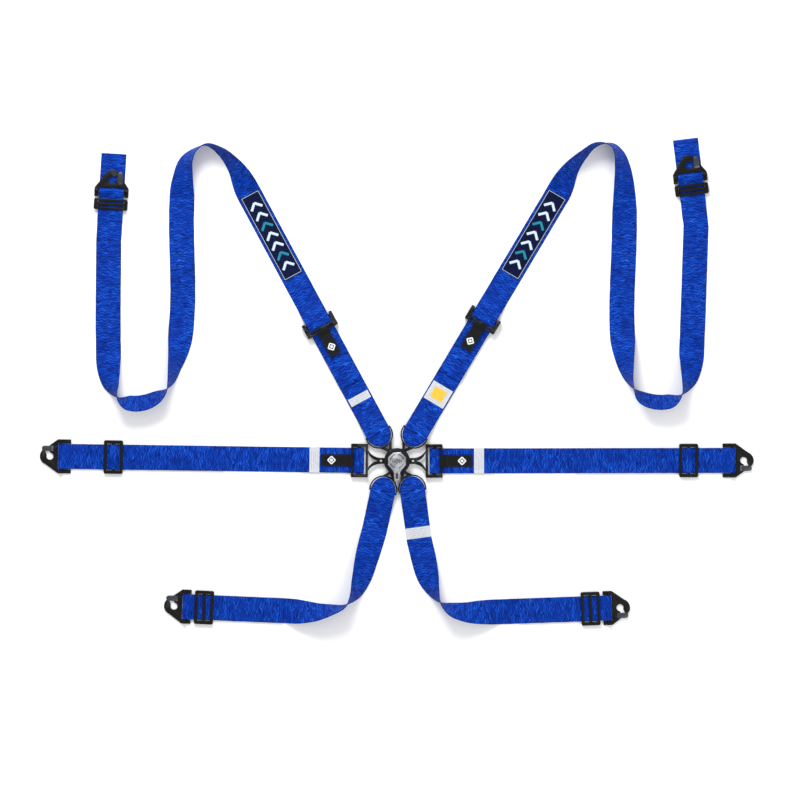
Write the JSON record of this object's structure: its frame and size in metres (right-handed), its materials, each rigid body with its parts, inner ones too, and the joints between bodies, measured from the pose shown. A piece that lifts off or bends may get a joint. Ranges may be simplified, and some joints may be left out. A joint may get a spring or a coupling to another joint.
{
  "type": "racing harness",
  "caption": "Multi-point racing harness laid flat: camlock buckle, twin lap, shoulder and crotch belts of wide webbing with adjusters, three-bar slides and snap hooks.",
  "frame": {"origin": "on the buckle's axis, at the back face of its base plate", "axes": "+Z out of the buckle's front, +Y towards the shoulder belts, +X along the right-hand lap belt as laid"},
  "size_m": [1.4269, 0.976, 0.05],
  "materials": {
    "webbing": "woven polyester, royal blue",
    "label": "woven label tape",
    "patch": "embroidered patch",
    "pull_tab": "black binding tape",
    "black_steel": "satin black",
    "hook_steel": "satin black",
    "housing": "black anodised",
    "knob_alloy": "brushed",
    "plated_steel": "zinc plated",
    "spring_steel": "blued spring steel"
  },
  "bodies": {
    "buckle": {"buckle_base_plate": "housing", "buckle_housing": "housing", "housing_screws": "plated_steel", "fixed_tongue_screw": "plated_steel", "knob_return_spring": "spring_steel", "latch_springs": "spring_steel", "lap_left_tongue": "black_steel", "lap_left_webbing": "webbing", "lap_left_label": "label"},
    "knob": {"release_knob": "knob_alloy", "cam_plate": "plated_steel", "knob_screw": "plated_steel"},
    "latch": {"latch_pins": "plated_steel"},
    "lap_left_tab": {"lap_left_pull_tab": "pull_tab"},
    "lap_left_bar": {"lap_left_adjuster_bar": "black_steel"},
    "lap_left_slide": {"lap_left_slider": "black_steel"},
    "lap_left_hook": {"lap_left_hook": "hook_steel"},
    "lap_left_gate": {"lap_left_hook_gate": "spring_steel"},
    "lap_right_belt": {"lap_right_tongue": "black_steel", "lap_right_webbing": "webbing", "lap_right_label": "label"},
    "lap_right_tab": {"lap_right_pull_tab": "pull_tab"},
    "lap_right_bar": {"lap_right_adjuster_bar": "black_steel"},
    "lap_right_slide": {"lap_right_slider": "black_steel"},
    "lap_right_hook": {"lap_right_hook": "hook_steel"},
    "lap_right_gate": {"lap_right_hook_gate": "spring_steel"},
    "shoulder_left_belt": {"shoulder_left_tongue": "black_steel", "shoulder_left_lower_webbing": "webbing", "shoulder_left_upper_webbing": "webbing", "shoulder_left_adjuster_frame": "black_steel", "shoulder_left_label": "label", "shoulder_left_patch": "patch"},
    "shoulder_left_tab": {"shoulder_left_pull_tab": "pull_tab"},
    "shoulder_left_bar": {"shoulder_left_adjuster_bar": "black_steel"},
    "shoulder_left_slide": {"shoulder_left_slider": "black_steel"},
    "shoulder_left_hook": {"shoulder_left_hook": "hook_steel"},
    "shoulder_left_gate": {"shoulder_left_hook_gate": "spring_steel"},
    "shoulder_right_belt": {"shoulder_right_tongue": "black_steel", "shoulder_right_lower_webbing": "webbing", "shoulder_right_upper_webbing": "webbing", "shoulder_right_adjuster_frame": "black_steel", "shoulder_right_label": "label", "shoulder_right_patch": "patch"},
    "shoulder_right_tab": {"shoulder_right_pull_tab": "pull_tab"},
    "shoulder_right_bar": {"shoulder_right_adjuster_bar": "black_steel"},
    "shoulder_right_slide": {"shoulder_right_slider": "black_steel"},
    "shoulder_right_hook": {"shoulder_right_hook": "hook_steel"},
    "shoulder_right_gate": {"shoulder_right_hook_gate": "spring_steel"},
    "crotch_left_belt": {"crotch_left_tongue": "black_steel", "crotch_left_webbing": "webbing"},
    "crotch_left_slide": {"crotch_left_slider": "black_steel"},
    "crotch_left_hook": {"crotch_left_hook": "hook_steel"},
    "crotch_left_gate": {"crotch_left_hook_gate": "spring_steel"},
    "crotch_right_belt": {"crotch_right_tongue": "black_steel", "crotch_right_webbing": "webbing", "crotch_right_label": "label"},
    "crotch_right_slide": {"crotch_right_slider": "black_steel"},
    "crotch_right_hook": {"crotch_right_hook": "hook_steel"},
    "crotch_right_gate": {"crotch_right_hook_gate": "spring_steel"}
  },
  "joints": [
    {"name": "knob_turn", "type": "hinge", "parent": "buckle", "child": "knob", "pos_m": [0, 0, 0.02], "axis": [0, 0, 1], "range_deg": [0, 45], "stiffness_Nm_per_rad": 0.2},
    {"name": "latch_lift", "type": "slide", "parent": "buckle", "child": "latch", "axis": [0, 0, 1], "range_m": [0, 0.0036], "deforming": ["latch_springs"]},
    {"name": "lap_left_tab_lift", "type": "hinge", "parent": "buckle", "child": "lap_left_tab", "pos_m": [-0.08999, 0.00126, 0.0077], "axis": [0.014, 0.9999, 0], "range_deg": [0, 100]},
    {"name": "lap_left_bar_slide", "type": "slide", "parent": "buckle", "child": "lap_left_bar", "axis": [0.9999, -0.014, 0], "range_m": [0, 0.003]},
    {"name": "lap_left_slider_travel", "type": "slide", "parent": "buckle", "child": "lap_left_slide", "axis": [-0.9999, 0.014, 0], "range_m": [-0.04, 0.04]},
    {"name": "lap_left_hook_swing", "type": "hinge", "parent": "buckle", "child": "lap_left_hook", "pos_m": [-0.67193, 0.00938, 0.0052], "axis": [0.014, 0.9999, 0], "range_deg": [0, 100]},
    {"name": "lap_left_gate_flex", "type": "hinge", "parent": "lap_left_hook", "child": "lap_left_gate", "pos_m": [-0.68733, 0.0096, 0.004], "axis": [0.014, 0.9999, 0], "range_deg": [0, 25], "stiffness_Nm_per_rad": 0.05},
    {"name": "lap_right_pull_out", "type": "slide", "parent": "buckle", "child": "lap_right_belt", "axis": [1, 0.0017, 0], "range_m": [0, 0.03]},
    {"name": "lap_right_tab_lift", "type": "hinge", "parent": "lap_right_belt", "child": "lap_right_tab", "pos_m": [0.089, 0.00015, 0.0077], "axis": [0.0017, -1, 0], "range_deg": [0, 100]},
    {"name": "lap_right_bar_slide", "type": "slide", "parent": "lap_right_belt", "child": "lap_right_bar", "axis": [-1, -0.0017, 0], "range_m": [0, 0.003]},
    {"name": "lap_right_slider_travel", "type": "slide", "parent": "lap_right_belt", "child": "lap_right_slide", "axis": [1, 0.0017, 0], "range_m": [-0.04, 0.04]},
    {"name": "lap_right_hook_swing", "type": "hinge", "parent": "lap_right_belt", "child": "lap_right_hook", "pos_m": [0.671, 0.00117, 0.0052], "axis": [0.0017, -1, 0], "range_deg": [0, 100]},
    {"name": "lap_right_gate_flex", "type": "hinge", "parent": "lap_right_hook", "child": "lap_right_gate", "pos_m": [0.6864, 0.0012, 0.004], "axis": [0.0017, -1, 0], "range_deg": [0, 25], "stiffness_Nm_per_rad": 0.05},
    {"name": "shoulder_left_pull_out", "type": "slide", "parent": "buckle", "child": "shoulder_left_belt", "axis": [-0.5619, 0.8272, 0], "range_m": [0, 0.03]},
    {"name": "shoulder_left_tab_lift", "type": "hinge", "parent": "shoulder_left_belt", "child": "shoulder_left_tab", "pos_m": [-0.1479, 0.26044, 0.014], "axis": [-0.8801, -0.4748, 0], "range_deg": [0, 100]},
    {"name": "shoulder_left_bar_slide", "type": "slide", "parent": "shoulder_left_belt", "child": "shoulder_left_bar", "axis": [0.4748, -0.8801, 0], "range_m": [0, 0.003]},
    {"name": "shoulder_left_slider_travel", "type": "slide", "parent": "shoulder_left_belt", "child": "shoulder_left_slide", "axis": [0.061, 0.9981, 0], "range_m": [-0.05, 0]},
    {"name": "shoulder_left_hook_swing", "type": "hinge", "parent": "shoulder_left_belt", "child": "shoulder_left_hook", "pos_m": [-0.57049, 0.53981, 0.0073], "axis": [0.9981, -0.061, 0], "range_deg": [0, 100]},
    {"name": "shoulder_left_gate_flex", "type": "hinge", "parent": "shoulder_left_hook", "child": "shoulder_left_gate", "pos_m": [-0.56956, 0.55519, 0.0061], "axis": [0.9981, -0.061, 0], "range_deg": [0, 25], "stiffness_Nm_per_rad": 0.05},
    {"name": "shoulder_right_pull_out", "type": "slide", "parent": "buckle", "child": "shoulder_right_belt", "axis": [0.5511, 0.8345, 0], "range_m": [0, 0.03]},
    {"name": "shoulder_right_tab_lift", "type": "hinge", "parent": "shoulder_right_belt", "child": "shoulder_right_tab", "pos_m": [0.16485, 0.27107, 0.014], "axis": [-0.8592, 0.5116, 0], "range_deg": [0, 100]},
    {"name": "shoulder_right_bar_slide", "type": "slide", "parent": "shoulder_right_belt", "child": "shoulder_right_bar", "axis": [-0.5116, -0.8592, 0], "range_m": [0, 0.003]},
    {"name": "shoulder_right_slider_travel", "type": "slide", "parent": "shoulder_right_belt", "child": "shoulder_right_slide", "axis": [-0.1219, 0.9925, 0], "range_m": [-0.05, 0]},
    {"name": "shoulder_right_hook_swing", "type": "hinge", "parent": "shoulder_right_belt", "child": "shoulder_right_hook", "pos_m": [0.58581, 0.56925, 0.0073], "axis": [0.9925, 0.1219, 0], "range_deg": [0, 100]},
    {"name": "shoulder_right_gate_flex", "type": "hinge", "parent": "shoulder_right_hook", "child": "shoulder_right_gate", "pos_m": [0.58394, 0.58454, 0.0061], "axis": [0.9925, 0.1219, 0], "range_deg": [0, 25], "stiffness_Nm_per_rad": 0.05},
    {"name": "crotch_left_pull_out", "type": "slide", "parent": "buckle", "child": "crotch_left_belt", "axis": [-0.4345, -0.9007, 0], "range_m": [0, 0.03]},
    {"name": "crotch_left_slider_travel", "type": "slide", "parent": "crotch_left_belt", "child": "crotch_left_slide", "axis": [-0.9991, 0.0419, 0], "range_m": [-0.05, 0]},
    {"name": "crotch_left_hook_swing", "type": "hinge", "parent": "crotch_left_belt", "child": "crotch_left_hook", "pos_m": [-0.42382, -0.29104, 0.0052], "axis": [0.0419, 0.9991, 0], "range_deg": [0, 100]},
    {"name": "crotch_left_gate_flex", "type": "hinge", "parent": "crotch_left_hook", "child": "crotch_left_gate", "pos_m": [-0.43921, -0.2904, 0.004], "axis": [0.0419, 0.9991, 0], "range_deg": [0, 25], "stiffness_Nm_per_rad": 0.05},
    {"name": "crotch_right_pull_out", "type": "slide", "parent": "buckle", "child": "crotch_right_belt", "axis": [0.485, -0.8745, 0], "range_m": [0, 0.03]},
    {"name": "crotch_right_slider_travel", "type": "slide", "parent": "crotch_right_belt", "child": "crotch_right_slide", "axis": [0.9994, 0.0349, 0], "range_m": [-0.05, 0]},
    {"name": "crotch_right_hook_swing", "type": "hinge", "parent": "crotch_right_belt", "child": "crotch_right_hook", "pos_m": [0.42387, -0.29386, 0.0052], "axis": [0.0349, -0.9994, 0], "range_deg": [0, 100]},
    {"name": "crotch_right_gate_flex", "type": "hinge", "parent": "crotch_right_hook", "child": "crotch_right_gate", "pos_m": [0.43926, -0.29332, 0.004], "axis": [0.0349, -0.9994, 0], "range_deg": [0, 25], "stiffness_Nm_per_rad": 0.05}
  ],
  "couplings": [
    {"joint": "latch_lift", "follows": "knob_turn", "m_per_rad": 0.00458},
    {"joint": "lap_left_bar_slide", "follows": "lap_left_tab_lift", "m_per_rad": 0.001718},
    {"joint": "lap_right_bar_slide", "follows": "lap_right_tab_lift", "m_per_rad": 0.001718},
    {"joint": "shoulder_left_bar_slide", "follows": "shoulder_left_tab_lift", "m_per_rad": 0.001718},
    {"joint": "shoulder_right_bar_slide", "follows": "shoulder_right_tab_lift", "m_per_rad": 0.001718}
  ]
}
